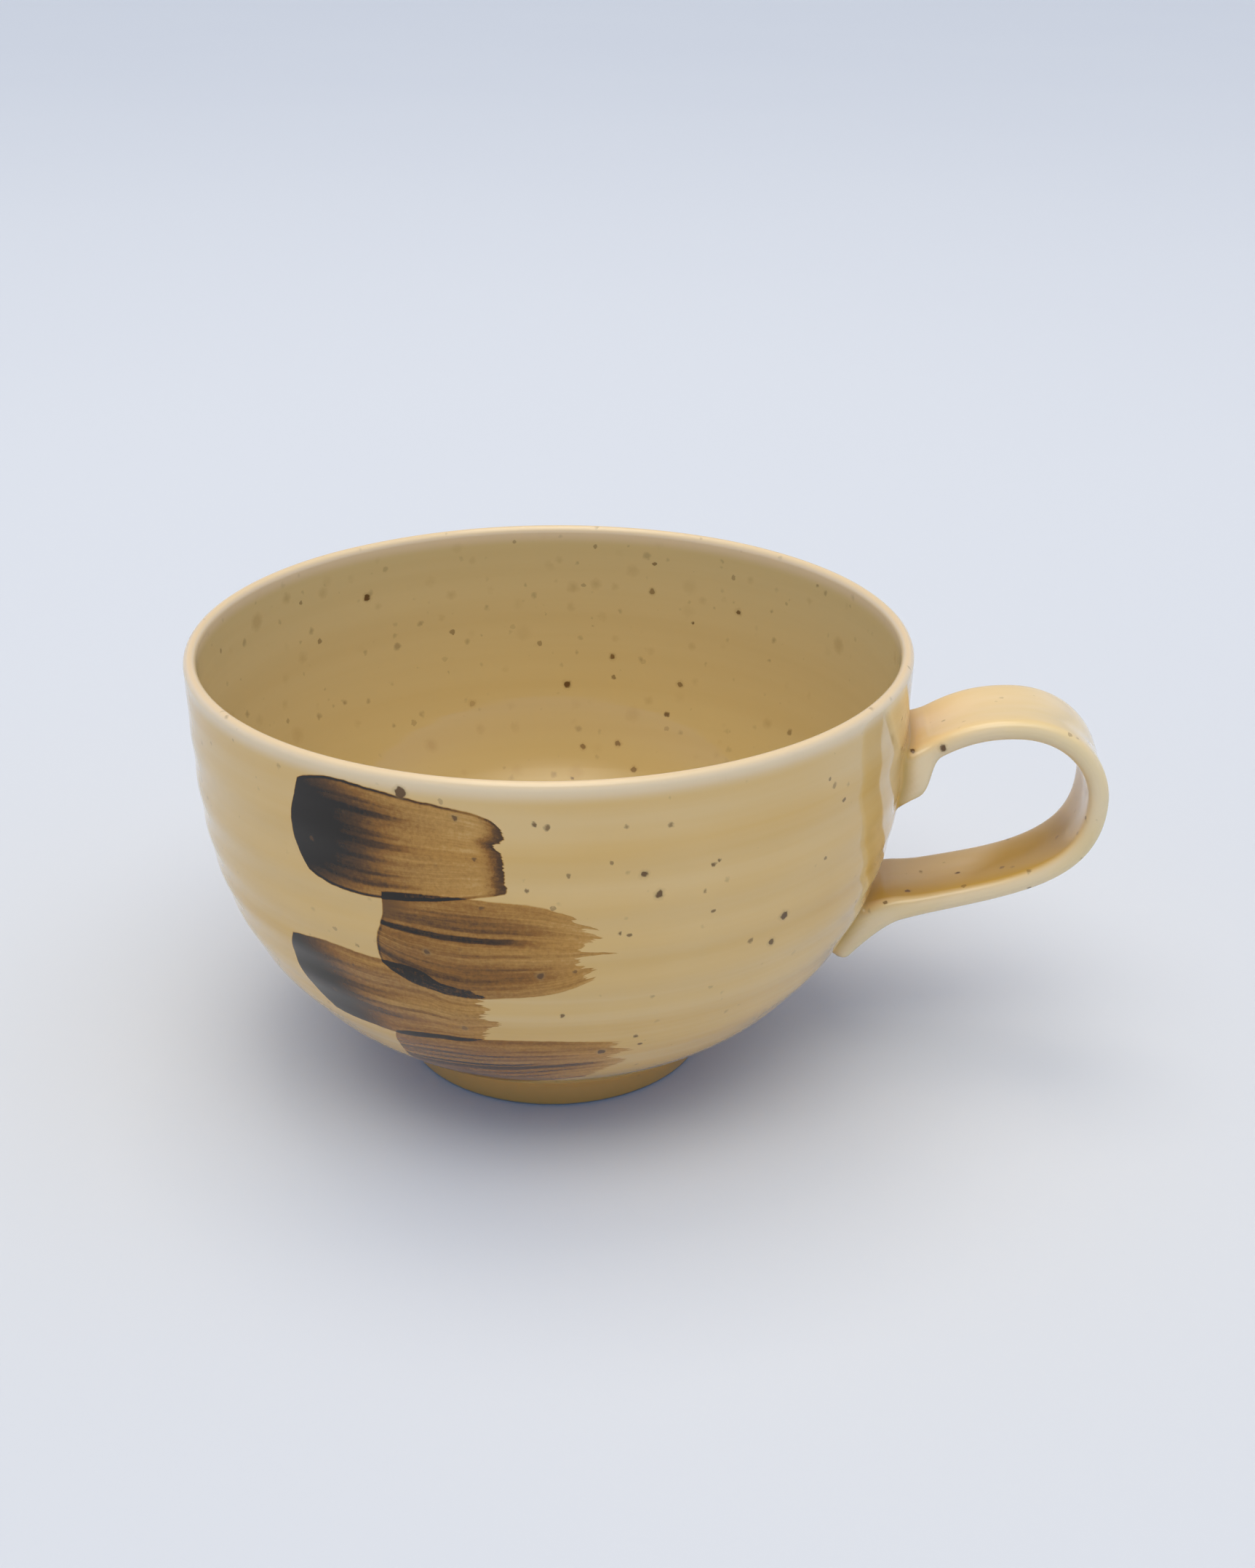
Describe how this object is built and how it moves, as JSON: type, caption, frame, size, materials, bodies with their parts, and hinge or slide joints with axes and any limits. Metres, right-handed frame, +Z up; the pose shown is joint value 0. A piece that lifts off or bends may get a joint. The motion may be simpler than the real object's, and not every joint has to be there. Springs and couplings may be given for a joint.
{
  "type": "mug",
  "caption": "Wide thrown stoneware mug with a round bowl, a rolled lip, a trimmed foot ring and a flat pulled strap handle.",
  "frame": {"origin": "centre of the foot ring's standing face, on the bowl's axis at the table", "axes": "+Z up along the bowl's axis, +X from the axis towards the handle"},
  "size_m": [0.1464, 0.1148, 0.0723],
  "materials": {
    "glaze": "glossy"
  },
  "bodies": {
    "root": {"mug": "glaze"}
  },
  "joints": []
}
